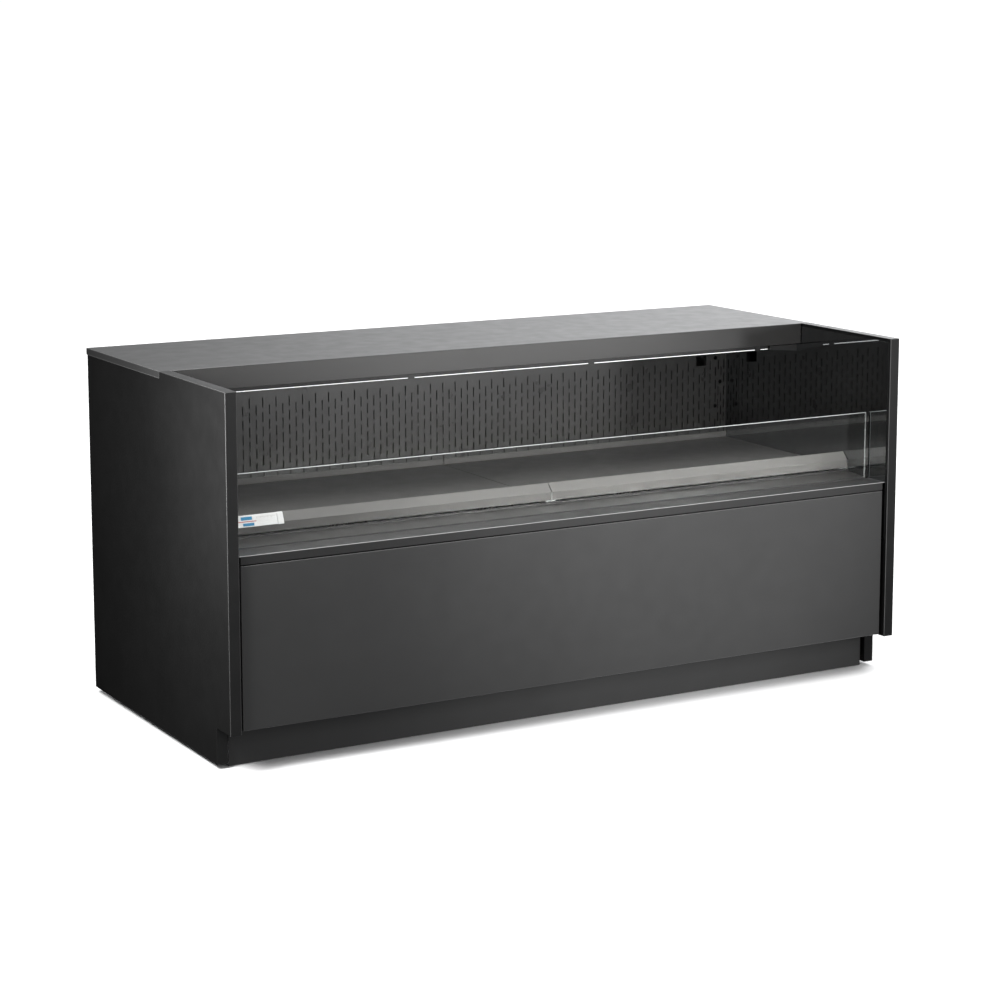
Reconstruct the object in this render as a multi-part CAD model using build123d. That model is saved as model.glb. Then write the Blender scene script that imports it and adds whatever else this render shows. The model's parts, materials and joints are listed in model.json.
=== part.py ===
from build123d import *
import os
from math import cos, hypot, radians, sin

# Low open-front refrigerated deli case. Millimetres, +Z up, X along the length and -Y the shopper's side.
# The origin is on the floor, at the middle of the length and of the depth.

# Driving dimensions
LENGTH = 1792.0
HEIGHT = 840.0
END_DEPTH = 816.0
END_THICKNESS = 28.0
TOP_OVERHANG = 5.5
END_FLOOR_GAP = 11.0
NOTCH_DEPTH = 76.5
NOTCH_HEIGHT = 93.4
SKIN = 1.5
THIN = 1.2
LINER = 1.5

# Depth planes, from the front of the end panels
FRONT = -(END_DEPTH + TOP_OVERHANG) / 2
END_BACK = FRONT + END_DEPTH
TOP_BACK = END_BACK + TOP_OVERHANG
PANEL_Y = FRONT + 10
GLASS_Y = FRONT + 80
TOE_Y = FRONT + 87
LIP_Y = FRONT + 161
LIP_TOP_Y = LIP_Y + 20
HEADER_Y = FRONT + 364
REAR_PANEL_Y = FRONT + 696
TANK_FRONT_Y = GLASS_Y + 8
BACK_WALL_Y = END_BACK - 50
BACK_SKIN_Y = BACK_WALL_Y + 40
BACK_FACE_Y = BACK_SKIN_Y + THIN

# Heights
PANEL_BOTTOM = 98.0
PANEL_TOP = 461.0
TRAY_DEPTH = 18.0
LEDGE_Z = 483.0
DECK_Z = 497.5
LIP_TOP_Z = 536.0
GLASS_TOP = 648.0
HEADER_BOTTOM = 788.0
MIRROR_TOP = 832.0
TOP_LIP = 16.0
TOP_SHEET = 2.0
CORE_BOTTOM = 806.0
DUCT_Z = 784.0
TANK_FLOOR_Z = 300.0
TANK_INSIDE_Z = 340.0
RAIL_BOTTOM = 50.0
RAIL = 40.0
BASE_Z = RAIL_BOTTOM + RAIL

# Frames and rails
FRAME_FRONT = TOE_Y + 22
FRAME_BACK = BACK_SKIN_Y - 5
POST = 30.0
FRONT_RAIL_Y = PANEL_Y + 26
FRONT_RAILS_Z = (104.0, 420.0)
DECK_RAIL_TOP = DECK_Z - SKIN - 0.3
DECK_RAIL_DEEP = 20.0
DECK_RAIL_WIDTH = 25.0
DECK_RAIL_FRONT = LIP_Y + 4

# Lengths along X, as half widths
HALF = LENGTH / 2
INNER = HALF - END_THICKNESS
BOARD_INNER = INNER + LINER
FRONT_HALF = 861.5
TOE_HALF = 863.7
LIGHT_HALF = 783.0
MAIN_PANEL_HALF = 826.0
FILLER_START = 816.0

# Light
LIGHT_Y = HEADER_Y + 26
LIGHT_Z = 774.7
LIGHT_DEEP = 12.0
LIGHT_TALL = 4.8
CLIP_X = (-750.0, -250.0, 250.0, 750.0)

# Deck pans and the tabs between them
PAN_GAP = 2.5
PAN_END_GAP = 1.5
PAN_UPSTAND = 14.5
LIP_BOTTOM = 496.5
CHAMFER_BOTTOM = LIP_TOP_Z - (LIP_TOP_Y - LIP_Y)
STOP_THICKNESS = 1.8

# Thermometer on the left pan's lip
THERMOMETER_TALL = 26.5
THERMOMETER_TILT = 24.0
THERMOMETER_GAP = 0.4

# Air panel slots
SLOT_LENGTH = 25.4
SLOT_WIDTH = 3.0
SLOT_PITCH = 35.4
COLUMN_PITCH = 35.45
HIGH_TOP = 706.5
LOW_TOP = 688.5
PANEL_FOOT = 496.0
PANEL_MIDDLE = (DUCT_Z + PANEL_FOOT) / 2
CUTOUT_X = 785.5
CUTOUT_Z = 707.5
ROUND_HOLE_R = 5.5

# Discharge grille
GRILLE_FRONT = HEADER_Y + 40
GRILLE_BACK = HEADER_Y + 108
GRILLE_TALL = 12.0
VANE_PITCH = 25.0

# Fans
EVAP_FAN_R = 55.0
EVAP_FAN_X = (-400.0, 0.0, 400.0)
EVAP_FAN_Y = 18.75
EVAP_FAN_Z = 408.0
COND_FAN_R = 80.0
COND_FAN_AT = (300.0, 237.0, 190.0)
SHAFT_R = 3.0
BORE_CLEARANCE = 0.05
TIP_CLEARANCE = 4.0

# Refrigeration
EVAPORATOR = (-600.0, 600.0, 88.0, 200.0, 348.0, 468.0)
CONDENSER = (120.0, 480.0, 256.0, 300.0, BASE_Z + 8, 284.0)
COMPRESSOR_AT = (-380.0, 120.0)
COMPRESSOR_R = 75.0
COMPRESSOR_TALL = 170.0
MOUNT_Z = 106.0
DRIER = (410.0, 530.0, 100.0, 220.0)
SUCTION_R = 9.0
LINE_R = 4.0
SUCTION_AT = (COMPRESSOR_AT[0] + 180, COMPRESSOR_AT[1])
LIQUID_AT = (DRIER[0] - 60, DRIER[2])
DRAIN_AT = (-660.0, 0.0)
DRAIN_R = 11.0
TRAY = (-770.0, -550.0, -140.0, 180.0)
TRAY_TALL = 50.0

# Rear services
SCREW_ROWS_Z = (770.0, 312.0, 287.0, 101.0)
SCREW_PITCH = 332.0
GRILLE_BANKS = ((300.0, 26), (-300.0, 20))
GRILLE_PITCH = 16.0
GRILLE_ROW = 54.0
SWITCH_X = -700.0
SWITCH_Z = 200.0
GLAND_X = -760.0
GLAND_Z = 150.0
GLAND_BORE_R = 5.0


def block(x0, x1, y0, y1, z0, z1):
    """A box between two corners."""
    return Pos((x0 + x1) / 2, (y0 + y1) / 2, (z0 + z1) / 2) * Box(x1 - x0, y1 - y0, z1 - z0)


def along_x(outline, x0, x1):
    """A (y, z) outline carried from x0 to x1."""
    plane = Plane(origin=(x0, 0, 0), x_dir=(0, 1, 0), z_dir=(1, 0, 0))
    return extrude(plane * outline, amount=x1 - x0, dir=(1, 0, 0))


def sheet_offset(path, thickness):
    """The path moved to its left by the sheet's thickness, with mitred corners."""
    moved = []
    last = len(path) - 1
    for i, (a, b) in enumerate(path):
        normals = []
        for first in (max(i - 1, 0), min(i, last - 1)):
            (a0, b0), (a1, b1) = path[first], path[first + 1]
            length = hypot(a1 - a0, b1 - b0)
            normals.append(((b0 - b1) / length, (a1 - a0) / length))
        (p, q), (r, s) = normals
        reach = thickness / (1 + p * r + q * s)
        moved.append((a + (p + r) * reach, b + (q + s) * reach))
    return moved


def bent_sheet(path, thickness, x0, x1, bend=1.2):
    """Folded sheet metal: a (y, z) path, its thickness to the left, and rounded outer bends."""
    moved = sheet_offset(path, thickness)
    outline = make_face(Polyline(*path, *reversed(moved), close=True))
    for corner in path[1:-1]:
        vertex = outline.vertices().sort_by_distance(Vector(*corner))[0]
        outline = fillet(vertex, bend)
    return along_x(outline, x0, x1)


def pierced(outline, holes, plane, depth):
    """A flat plate with holes: closed wires on a plane, carried along its normal."""
    face = Face(outline.wire(), [hole.wire() for hole in holes])
    return extrude(plane * face, amount=depth, dir=plane.z_dir)


def square_tube(x0, x1, y0, y1, z0, z1, wall=2.0):
    """A rectangular tube, open at the ends of its longest side."""
    sizes = (x1 - x0, y1 - y0, z1 - z0)
    gap = [wall if size != max(sizes) else -1 for size in sizes]
    core = block(x0 + gap[0], x1 - gap[0], y0 + gap[1], y1 - gap[1], z0 + gap[2], z1 - gap[2])
    return block(x0, x1, y0, y1, z0, z1) - core


def facing(x, y, z):
    """A plane at a point that looks forwards, with its own X to the right and Y up."""
    return Plane(origin=(x, y, z), x_dir=(1, 0, 0), z_dir=(0, -1, 0))


# Casing

def end_panel(side):
    outline = Polyline(
        (FRONT, NOTCH_HEIGHT), (FRONT, HEIGHT), (END_BACK, HEIGHT), (END_BACK, END_FLOOR_GAP),
        (FRONT + NOTCH_DEPTH, END_FLOOR_GAP), (FRONT + NOTCH_DEPTH, NOTCH_HEIGHT), close=True)
    low, high = sorted((side * BOARD_INNER, side * HALF))
    board = along_x(make_face(outline), low, high)
    outer = board.faces().sort_by(Axis.X)[-1 if side > 0 else 0]
    board = fillet(outer.edges(), 1.4)
    front_inner = board.edges().filter_by(Axis.Z).filter_by_position(Axis.Y, FRONT - 0.1, FRONT + 0.1)
    board = fillet(front_inner.sort_by(Axis.X)[0 if side > 0 else -1], 0.8)
    lap = HEIGHT - TOP_SHEET
    low, high = sorted((side * (HALF - TOP_SHEET), side * (HALF + 1)))
    board -= block(low, high, HEADER_Y, END_BACK + 1, HEIGHT - TOP_LIP, HEIGHT + 1)
    return board - block(-HALF, HALF, HEADER_Y, END_BACK + 1, lap, HEIGHT + 1)


def mirror_liner(side):
    low, high = sorted((side * INNER, side * BOARD_INNER))
    return block(low, high, FRONT + 9, BACK_WALL_Y, TANK_INSIDE_Z + 1, MIRROR_TOP)


def top_panel():
    outer = block(-HALF, HALF, HEADER_Y, TOP_BACK, HEIGHT - TOP_LIP, HEIGHT)
    outer = fillet(outer.edges().group_by(Axis.Z)[-1], 1.2)
    inside = HALF - TOP_SHEET
    return outer - block(-inside, inside, HEADER_Y - 1, TOP_BACK - TOP_SHEET, 0, HEIGHT - TOP_SHEET)


def header_panel():
    top = HEIGHT - TOP_SHEET
    path = [(HEADER_Y + 20, top), (HEADER_Y, top), (HEADER_Y, HEADER_BOTTOM), (HEADER_Y + 16, HEADER_BOTTOM)]
    return bent_sheet(path, SKIN, -INNER + 1.5, INNER - 1.5)


def top_insulation():
    return block(-INNER, INNER, HEADER_Y + 22, BACK_SKIN_Y, CORE_BOTTOM, HEIGHT - TOP_SHEET)


def rear_flashing():
    return block(-HALF + 3, HALF - 3, END_BACK, END_BACK + 3, 791, HEIGHT - TOP_SHEET)


def back_skin():
    return block(-INNER, INNER, BACK_SKIN_Y, BACK_FACE_Y, TANK_FLOOR_Z - 2, HEIGHT - TOP_SHEET)


def rear_grille():
    low, high = BASE_Z + 2, TANK_FLOOR_Z - 4
    middle = (low + high) / 2
    holes = []
    for centre, columns in GRILLE_BANKS:
        for column in range(columns):
            x = centre + (column - (columns - 1) / 2) * GRILLE_PITCH
            for row in (-1, 0, 1):
                holes.append(Pos(x, row * GRILLE_ROW) * SlotOverall(42, 6, rotation=90))
    holes.append(Pos(SWITCH_X, SWITCH_Z - middle) * Rectangle(16.4, 22.4))
    holes.append(Pos(GLAND_X, GLAND_Z - middle) * Circle(8))
    outline = Rectangle(2 * INNER - 2, high - low)
    return pierced(outline, holes, facing(0, BACK_FACE_Y, middle), THIN)


def rear_screws():
    """Six pan-head screws along each row, through the back skin and the grille."""
    head = Rot(-90, 0, 0) * Cone(4.6, 3.0, 2.4)
    screws = []
    for z in SCREW_ROWS_Z:
        for i in range(6):
            screws.append(Pos((i - 2.5) * SCREW_PITCH, BACK_FACE_Y + 1.2, z) * head)
    return Compound(screws)


# Air panel, duct and light

def slot_holes(x, top, rows, blocked, floor=508.0):
    """A column of upright slots, left out where a cut-out is in the way and cut short at the deck."""
    holes = []
    for row in range(rows):
        high = top - row * SLOT_PITCH
        low = max(high - SLOT_LENGTH, floor - 6)
        clear = all(abs(x - bx) > bw or low > bz + bh or high < bz - bh for bx, bz, bw, bh in blocked)
        if clear and high - low > 8:
            holes.append(Pos(x, (high + low) / 2) * SlotOverall(high - low, SLOT_WIDTH, rotation=90))
    return holes


def rear_air_panel():
    cutouts = [(side * CUTOUT_X, CUTOUT_Z, 20, 16) for side in (-1, 1)]
    holes = []
    for n in range(-23, 24):
        holes += slot_holes(n * COLUMN_PITCH, HIGH_TOP, 6, cutouts)
    for n in range(-23, 23):
        holes += slot_holes((n + 0.5) * COLUMN_PITCH, LOW_TOP, 5, cutouts)
    for x, z, _, _ in cutouts:
        holes.append(Pos(x, z) * Rectangle(33, 27))
    holes = [Pos(0, -PANEL_MIDDLE) * hole for hole in holes]
    outline = Rectangle(2 * MAIN_PANEL_HALF, DUCT_Z - PANEL_FOOT)
    return pierced(outline, holes, facing(0, REAR_PANEL_Y + THIN, PANEL_MIDDLE), THIN)


def rear_filler_strips():
    """Narrow end strips behind the main air panel, with closer slots and three round holes each."""
    strips = []
    for side in (-1, 1):
        rounds = [(side * 833, 713), (side * 849, 647.5), (side * 834, 582.5)]
        blocked = [(x, z, 8, 8) for x, z in rounds]
        holes = []
        for i, x in enumerate((833.5, 842.5, 851.5, 860.5)):
            high = i % 2 == 0
            holes += slot_holes(side * x, LOW_TOP if high else HIGH_TOP, 5 if high else 6, blocked)
        holes += [Pos(x, z) * Circle(ROUND_HOLE_R) for x, z in rounds]
        middle = side * (FILLER_START + INNER) / 2
        holes = [Pos(-middle, -PANEL_MIDDLE) * hole for hole in holes]
        plane = facing(middle, REAR_PANEL_Y + 2 * THIN, PANEL_MIDDLE)
        strips.append(pierced(Rectangle(INNER - FILLER_START, DUCT_Z - PANEL_FOOT), holes, plane, THIN))
    return Compound(strips)


def air_duct_plate():
    return block(-INNER, INNER, GRILLE_BACK + 1, REAR_PANEL_Y + 2 * THIN, DUCT_Z, DUCT_Z + THIN)


def discharge_grille():
    """The strip of cross vanes that straightens the cold air curtain behind the light."""
    deep = GRILLE_BACK - GRILLE_FRONT
    holes = [Pos((i - 34) * VANE_PITCH, 0) * Rectangle(VANE_PITCH - 2, deep - 6) for i in range(69)]
    plane = Plane(origin=(0, GRILLE_FRONT + deep / 2, DUCT_Z), x_dir=(1, 0, 0), z_dir=(0, 0, 1))
    return pierced(Rectangle(2 * INNER - 4, deep), holes, plane, GRILLE_TALL)


def light_rail():
    """The channel that holds the light and closes the front of the duct."""
    top, back, wall = LIGHT_Z + LIGHT_TALL, LIGHT_Y + LIGHT_DEEP, 3
    rail = block(-LIGHT_HALF, LIGHT_HALF, LIGHT_Y, back, top, CORE_BOTTOM)
    half = LIGHT_HALF + 1
    return rail - block(-half, half, LIGHT_Y + wall, back - wall, top + wall, CORE_BOTTOM - wall)


def light_diffuser():
    bar = block(-LIGHT_HALF, LIGHT_HALF, LIGHT_Y, LIGHT_Y + LIGHT_DEEP, LIGHT_Z, LIGHT_Z + LIGHT_TALL)
    return fillet(bar.edges().filter_by(Axis.X).group_by(Axis.Z)[0], 1.8)


def light_clips():
    clips = []
    for x in CLIP_X:
        outer = block(x - 8.5, x + 8.5, LIGHT_Y - 1, LIGHT_Y + LIGHT_DEEP + 1, LIGHT_Z - 1, LIGHT_Z + 12)
        gap = block(x - 9, x + 9, LIGHT_Y, LIGHT_Y + LIGHT_DEEP, LIGHT_Z, LIGHT_Z + 13)
        clips.append(outer - gap)
    return Compound(clips)


def light_end_brackets():
    """Wedge-shaped black brackets that carry the light's ends and hide its wires."""
    brackets = []
    for side in (-1, 1):
        tip, root, top = LIGHT_HALF + 0.5, INNER, DUCT_Z
        outline = Polyline(
            (side * tip, LIGHT_Z), (side * root, LIGHT_Z - 8),
            (side * root, top), (side * tip, top), close=True)
        plane = Plane(origin=(0, LIGHT_Y + LIGHT_DEEP, 0), x_dir=(1, 0, 0), z_dir=(0, -1, 0))
        brackets.append(extrude(plane * make_face(outline), amount=LIGHT_DEEP + 8, dir=(0, -1, 0)))
    return Compound(brackets)


# Insulated tank and deck

def tank_floor():
    """The insulated floor, with a drain hole and a hole for each refrigerant line."""
    slab = block(-INNER, INNER, TANK_FRONT_Y, BACK_SKIN_Y, TANK_FLOOR_Z, TANK_INSIDE_Z)
    for (x, y), radius in ((DRAIN_AT, DRAIN_R), (SUCTION_AT, SUCTION_R + 1), (LIQUID_AT, LINE_R + 1)):
        slab -= Pos(x, y, TANK_FLOOR_Z) * Cylinder(radius, 100)
    return slab


def tank_front_wall():
    return block(-INNER, INNER, TANK_FRONT_Y, TANK_FRONT_Y + 30, TANK_INSIDE_Z, LEDGE_Z - 2)


def rear_insulated_wall():
    return block(-INNER, INNER, BACK_WALL_Y, BACK_SKIN_Y, TANK_INSIDE_Z, CORE_BOTTOM)


def deck_rails():
    """Three rails under the pans' ends and joint, on a cross rail behind the air slots."""
    front, low, half = DECK_RAIL_FRONT, DECK_RAIL_TOP - DECK_RAIL_DEEP, DECK_RAIL_WIDTH / 2
    rails = [square_tube(-INNER, INNER, front, front + DECK_RAIL_DEEP, low - DECK_RAIL_DEEP, low)]
    for x in (-INNER + half, 0, INNER - half):
        rails.append(square_tube(x - half, x + half, front, BACK_WALL_Y, low, DECK_RAIL_TOP))
    return Compound(rails)


def deck_stops():
    """Upright tabs in front of the deck rails: one between the pans and one at each of their outer ends."""
    low, high = DECK_RAIL_TOP - DECK_RAIL_DEEP, CHAMFER_BOTTOM - 0.5
    half, end = STOP_THICKNESS / 2, INNER - PAN_END_GAP + 0.2
    spans = ((-INNER, -end), (-half, half), (end, INNER))
    return Compound([block(x0, x1, LIP_Y - 0.2, DECK_RAIL_FRONT, low, high) for x0, x1 in spans])


def deck_pan(side):
    """A lift-out deck pan: rear upstand, floor, and a raised front lip with a sloping face."""
    rear = REAR_PANEL_Y - SKIN - 0.2
    path = [
        (rear, DECK_Z + PAN_UPSTAND), (rear, DECK_Z), (LIP_TOP_Y + 5, DECK_Z), (LIP_TOP_Y, LIP_TOP_Z),
        (LIP_Y, CHAMFER_BOTTOM), (LIP_Y, LIP_BOTTOM)]
    low, high = sorted((side * PAN_GAP / 2, side * (INNER - PAN_END_GAP)))
    return bent_sheet(path, SKIN, low, high, bend=0.9)


# Front

def front_ledge():
    back = GLASS_Y - 2
    path = [
        (back, LEDGE_Z - 28), (back, LEDGE_Z), (PANEL_Y, LEDGE_Z), (PANEL_Y, PANEL_TOP + 2),
        (PANEL_Y + 14, PANEL_TOP + 2)]
    ledge = bent_sheet(path, SKIN, -INNER + 0.5, INNER - 0.5, bend=1.4)
    for side in (-1, 1):
        low, high = sorted((side * FRONT_HALF, side * INNER))
        ledge -= block(low, high, PANEL_Y - 1, PANEL_Y + 20, PANEL_TOP, LEDGE_Z - SKIN)
    return ledge


def inner_ledge():
    """The sloping strip between the glass and the deck's lip."""
    path = [(LIP_Y - 2.2, 493), (LIP_Y - 2.2, 488), (GLASS_Y + 6.8, LEDGE_Z)]
    return bent_sheet(path, THIN, -INNER + 0.5, INNER - 0.5, bend=0.8)


def glass_channel():
    back, bottom = TANK_FRONT_Y, LEDGE_Z - 29
    front = GLASS_Y - 2
    outer = block(-INNER + 2, INNER - 2, front, back, bottom, LEDGE_Z - 2)
    return outer - block(-INNER, INNER, front + SKIN, back - SKIN, bottom + 3, LEDGE_Z)


def front_glass():
    pane = block(-FRONT_HALF, FRONT_HALF, GLASS_Y, GLASS_Y + 6, LEDGE_Z - 25.5, GLASS_TOP)
    return chamfer(pane.edges().group_by(Axis.Z)[-1], 0.6)


def front_panel():
    """The pull-off lower front: a shallow tray, open at the back."""
    outer = block(-FRONT_HALF, FRONT_HALF, PANEL_Y, PANEL_Y + TRAY_DEPTH, PANEL_BOTTOM, PANEL_TOP)
    outer = fillet(outer.edges().group_by(Axis.Y)[0], 1.4)
    half = FRONT_HALF - SKIN
    inside = (PANEL_Y + SKIN, PANEL_Y + TRAY_DEPTH + 1, PANEL_BOTTOM + SKIN, PANEL_TOP - SKIN)
    return outer - block(-half, half, *inside)


def front_rails():
    rails = []
    for z in FRONT_RAILS_Z:
        half = BOARD_INNER if z < TANK_INSIDE_Z else INNER
        rails.append(square_tube(-half, half, FRONT_RAIL_Y, FRONT_RAIL_Y + 30, z, z + 25))
    return Compound(rails)


def panel_magnets():
    """Magnetic catches between the front rails and the front panel's skin."""
    magnets = []
    for z in FRONT_RAILS_Z:
        for x in (-620, 0, 620):
            magnets.append(block(x - 22, x + 22, PANEL_Y + SKIN + 0.3, FRONT_RAIL_Y, z + 4, z + 20))
    return Compound(magnets)


def toe_kick():
    top, bottom = NOTCH_HEIGHT - 1.4, 1.0
    path = [(TOE_Y + 16, top), (TOE_Y, top), (TOE_Y, bottom), (TOE_Y + 14, bottom)]
    return bent_sheet(path, THIN, -TOE_HALF, TOE_HALF)


# Base frame

def base_rails():
    rails = [
        square_tube(-BOARD_INNER, BOARD_INNER, FRAME_FRONT, FRAME_FRONT + RAIL, RAIL_BOTTOM, BASE_Z),
        square_tube(-BOARD_INNER, BOARD_INNER, FRAME_BACK - RAIL, FRAME_BACK, RAIL_BOTTOM, BASE_Z)]
    for x in (-BOARD_INNER + RAIL / 2, -290, 290, BOARD_INNER - RAIL / 2):
        rails.append(square_tube(
            x - RAIL / 2, x + RAIL / 2, FRAME_FRONT + RAIL, FRAME_BACK - RAIL, RAIL_BOTTOM, BASE_Z))
    return Compound(rails)


def frame_posts():
    posts = []
    half = POST / 2
    for x in (-INNER + 20, 0, INNER - 20):
        for y in (FRAME_FRONT + RAIL / 2, FRAME_BACK - RAIL / 2):
            posts.append(square_tube(x - half, x + half, y - half, y + half, BASE_Z, TANK_FLOOR_Z))
    return Compound(posts)


def levelling_foot():
    """A pad, a threaded stem and its lock nut."""
    pad = Cylinder(25, 8, align=(Align.CENTER, Align.CENTER, Align.MIN))
    pad = fillet(pad.edges().group_by(Axis.Z)[-1], 3)
    stem = Pos(0, 0, 8) * Cylinder(6, RAIL_BOTTOM - 8, align=(Align.CENTER, Align.CENTER, Align.MIN))
    nut = Pos(0, 0, RAIL_BOTTOM - 8) * extrude(RegularPolygon(10.5, 6), 8)
    return pad + stem + nut


def levelling_feet():
    feet = []
    for x in (-INNER + 60, 0, INNER - 60):
        for y in (FRAME_FRONT + RAIL / 2, FRAME_BACK - RAIL / 2):
            feet.append(Pos(x, y, 0) * levelling_foot())
    return Compound(feet)


def base_pan():
    edge = BOARD_INNER - RAIL
    return block(-edge, edge, FRAME_FRONT + RAIL, FRAME_BACK - RAIL, BASE_Z, BASE_Z + SKIN)


# Fans

def fan(radius, hub_radius, depth, blades):
    """A fan about its own Z axis: a bored hub with pitched blades trimmed to the tip circle."""
    rotor = Cylinder(hub_radius, depth)
    reach = radius - hub_radius + 6
    blade = Rot(35, 0, 0) * Box(reach, depth * 1.5, 1.8)
    blade = Pos(hub_radius - 3 + reach / 2, 0, 0) * blade
    for i in range(blades):
        rotor += Rot(0, 0, i * 360 / blades) * blade
    rotor = rotor & Cylinder(radius, depth * 1.2)
    return rotor - Cylinder(SHAFT_R + BORE_CLEARANCE, depth * 2)


def fan_motor(body_radius, body_length, shaft_length, span, gap):
    """A motor behind its shaft, on a U bracket that reaches past the blades, about its own Z axis."""
    low = -shaft_length / 2
    shaft = Pos(0, 0, low) * Cylinder(SHAFT_R, shaft_length, align=(Align.CENTER, Align.CENTER, Align.MIN))
    body = Pos(0, 0, low - body_length) * Cylinder(
        body_radius, body_length, align=(Align.CENTER, Align.CENTER, Align.MIN))
    body = fillet(body.edges().group_by(Axis.Z)[0], 4)
    strap = low - body_length
    bar = block(-span, span, -8, 8, strap - 2, strap)
    legs = block(-span, -span + 2, -8, 8, strap - 2, gap) + block(span - 2, span, -8, 8, strap - 2, gap)
    return shaft + body + bar + legs


def evaporator_fan(x):
    return Pos(x, EVAP_FAN_Y, EVAP_FAN_Z) * Rot(90, 0, 0) * fan(EVAP_FAN_R, 18, 20, 5)


def evaporator_fan_motors():
    motor = fan_motor(22, 36, 30, EVAP_FAN_R + 8, -0.75)
    return Compound([Pos(x, EVAP_FAN_Y, EVAP_FAN_Z) * Rot(90, 0, 0) * motor for x in EVAP_FAN_X])


def evaporator_fan_shroud():
    low, high = TANK_INSIDE_Z, DECK_RAIL_TOP - DECK_RAIL_DEEP
    middle = (low + high) / 2
    holes = [Pos(x, EVAP_FAN_Z - middle) * Circle(EVAP_FAN_R + TIP_CLEARANCE) for x in EVAP_FAN_X]
    outline = Rectangle(2 * INNER, high - low)
    return pierced(outline, holes, facing(0, EVAP_FAN_Y + 0.75, middle), SKIN)


def condenser_fan():
    return Pos(*COND_FAN_AT) * Rot(-90, 0, 0) * fan(COND_FAN_R, 22, 26, 5)


def condenser_fan_motor():
    motor = fan_motor(30, 44, 34, COND_FAN_R + 7, -0.75)
    return Pos(*COND_FAN_AT) * Rot(-90, 0, 0) * motor


def condenser_fan_shroud():
    x, y, z = COND_FAN_AT
    top = CONDENSER[-1]
    middle = (BASE_Z + SKIN + top) / 2
    hole = Pos(0, z - middle) * Circle(COND_FAN_R + TIP_CLEARANCE)
    outline = Rectangle(360, 2 * (top - middle))
    return pierced(outline, [hole], facing(x, y + 0.75, middle), SKIN)


# Refrigeration

def finned_coil(x0, x1, y0, y1, z0, z1, pitch, groove):
    """A finned block with grooves on both faces, and solid end plates."""
    coil = block(x0, x1, y0, y1, z0, z1)
    count = int((x1 - x0 - 20) / pitch)
    start = (x0 + x1) / 2 - (count - 1) * pitch / 2
    cuts = []
    for i in range(count):
        x = start + i * pitch
        cuts.append(block(x - groove / 2, x + groove / 2, y0 - 1, y0 + 8, z0 + 3, z1 - 3))
        cuts.append(block(x - groove / 2, x + groove / 2, y1 - 8, y1 + 1, z0 + 3, z1 - 3))
    return coil - Compound(cuts)


def return_bend(x, y, z, side, gap=12.0, radius=4.0):
    """A half-round tube that joins two tube ends, one above the other."""
    start = (x, y, z - gap)
    arc = ThreePointArc(start, (x + side * gap, y, z), (x, y, z + gap))
    return sweep(Plane(origin=start, z_dir=(side, 0, 0)) * Circle(radius), arc)


def evaporator_coil():
    coil = finned_coil(*EVAPORATOR, 12, 8)
    x0, x1, y0, y1, z0, z1 = EVAPORATOR
    for x, side in ((x0, -1), (x1, 1)):
        for y in (y0 + 30, y1 - 30):
            for z in (z0 + 32, z1 - 32):
                coil += return_bend(x, y, z, side)
    return coil


def condenser_coil():
    x0, x1, y0, y1, z0, _ = CONDENSER
    return finned_coil(*CONDENSER, 9, 6) + block(x0, x1, y0 - 4, y1 + 4, BASE_Z + SKIN, z0)


def compressor():
    """A hermetic shell: a round can with domed ends, a mounting plate and a terminal cover."""
    x, y = COMPRESSOR_AT
    base = (Align.CENTER, Align.CENTER, Align.MIN)
    shell = Pos(x, y, MOUNT_Z + 3) * Cylinder(COMPRESSOR_R, COMPRESSOR_TALL, align=base)
    shell = fillet(shell.edges(), 34)
    shell += Pos(x, y, MOUNT_Z) * Cylinder(COMPRESSOR_R - 30, 8, align=base)
    shell += block(x - 88, x + 88, y - 88, y + 88, MOUNT_Z, MOUNT_Z + 3)
    return shell + block(x - 22, x + 22, y - COMPRESSOR_R - 18, y - COMPRESSOR_R + 12, 170, 220)


def compressor_grommets():
    x, y = COMPRESSOR_AT
    base = (Align.CENTER, Align.CENTER, Align.MIN)
    low = BASE_Z + SKIN
    return Compound([
        Pos(x + i * 74, y + j * 74, low) * Cylinder(11, MOUNT_Z - low, align=base)
        for i in (-1, 1) for j in (-1, 1)])


def pipe(points, radius, bend):
    """A round pipe along straight runs joined by bends."""
    path = FilletPolyline(*points, radius=bend) if len(points) > 2 else Line(*points)
    return sweep(Plane(origin=points[0], z_dir=path % 0) * Circle(radius), path)


def suction_line():
    x, y = SUCTION_AT
    start = COMPRESSOR_AT[0] + COMPRESSOR_R
    return pipe([(x, y, EVAPORATOR[4]), (x, y, 230), (start, y, 230)], SUCTION_R, 30)


def refrigerant_lines():
    x, y = COMPRESSOR_AT
    x0, x1, yd, zd = DRIER
    left, right, yc, corner = CONDENSER[0], CONDENSER[1], 278, DRIER[1] + 30
    discharge = [(x, y + COMPRESSOR_R, 200), (x, yc, 200), (left, yc, 200)]
    to_drier = [(right, yc, 130), (corner, yc, 130), (corner, yc, zd), (corner, yd, zd), (x1, yd, zd)]
    to_coil = [(x0, yd, zd), (LIQUID_AT[0], yd, zd), (*LIQUID_AT, EVAPORATOR[4])]
    return Compound([pipe(discharge, LINE_R, 30), pipe(to_drier, LINE_R, 14), pipe(to_coil, LINE_R, 30)])


def filter_drier():
    x0, x1, y, z = DRIER
    can = Pos((x0 + x1) / 2, y, z) * Rot(0, 90, 0) * Cylinder(13, x1 - x0)
    return fillet(can.edges(), 6)


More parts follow.
